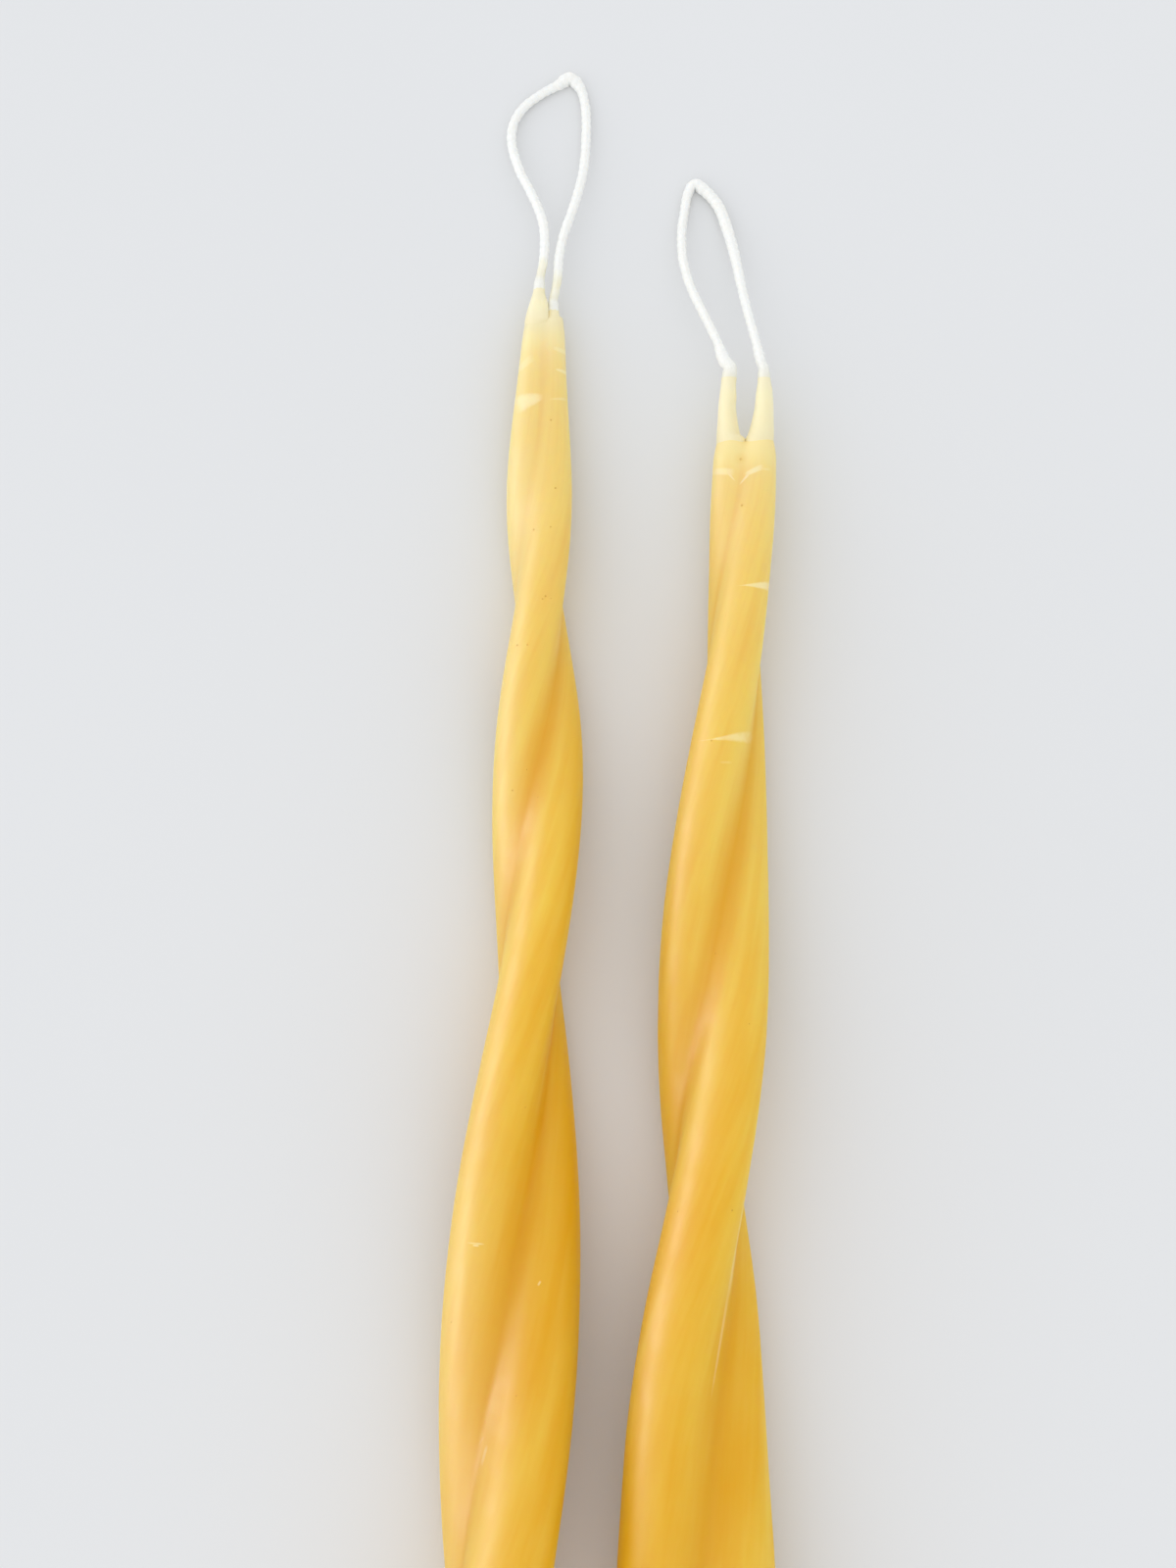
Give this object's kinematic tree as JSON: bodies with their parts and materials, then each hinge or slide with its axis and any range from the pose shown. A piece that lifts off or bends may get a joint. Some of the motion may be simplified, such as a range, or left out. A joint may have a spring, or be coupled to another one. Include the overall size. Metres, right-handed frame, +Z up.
{
  "type": "twin flame candle",
  "caption": "Hand-dipped beeswax candles, each twisted from a pair of tapers under one looped wick and dipped again into one coat, so that the pair burns with twin flames.",
  "frame": {"origin": "on the table, under the middle of the wax of both candles", "axes": "+Z up from the table, +Y along the candles from their cut butts to their tips, +X from the left candle to the right one"},
  "size_m": [0.0722, 0.373, 0.0339],
  "materials": {
    "coat_wax": "satin honey-yellow beeswax",
    "core_wax": "satin cream-yellow beeswax",
    "wick_cotton": "braided white cotton stiffened with wax"
  },
  "bodies": {
    "root": {"left_wick_loop": "wick_cotton", "left_wick_leg_a": "wick_cotton", "left_wick_leg_b": "wick_cotton", "left_taper_core_a": "core_wax", "left_taper_core_b": "core_wax", "left_overdip_coat": "coat_wax", "right_wick_loop": "wick_cotton", "right_wick_leg_a": "wick_cotton", "right_wick_leg_b": "wick_cotton", "right_taper_core_a": "core_wax", "right_taper_core_b": "core_wax", "right_overdip_coat": "coat_wax"}
  },
  "joints": []
}
